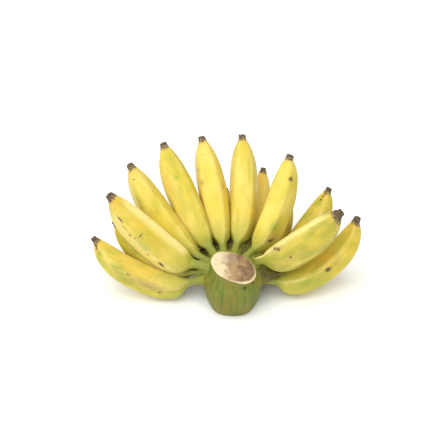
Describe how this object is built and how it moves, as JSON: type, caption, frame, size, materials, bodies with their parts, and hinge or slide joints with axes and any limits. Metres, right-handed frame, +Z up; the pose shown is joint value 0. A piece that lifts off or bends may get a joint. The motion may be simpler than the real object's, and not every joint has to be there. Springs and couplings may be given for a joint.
{
  "type": "banana",
  "caption": "Hand of short plump yellow bananas with dark tips, fanning upwards in two rows from a thick green cut stalk stub.",
  "frame": {"origin": "middle of the bounding box in plan, on the surface that the hand lies on", "axes": "+Z up, +X along the widest spread of the fingers, -Y towards the side where the cut stalk stands clear, +Y towards the middle fingers"},
  "size_m": [0.3046, 0.1855, 0.1457],
  "materials": {
    "banana_peel": "smooth waxy yellow peel, green at the stalk and dark at the tips"
  },
  "bodies": {
    "root": {"banana_hand": "banana_peel"}
  },
  "joints": []
}
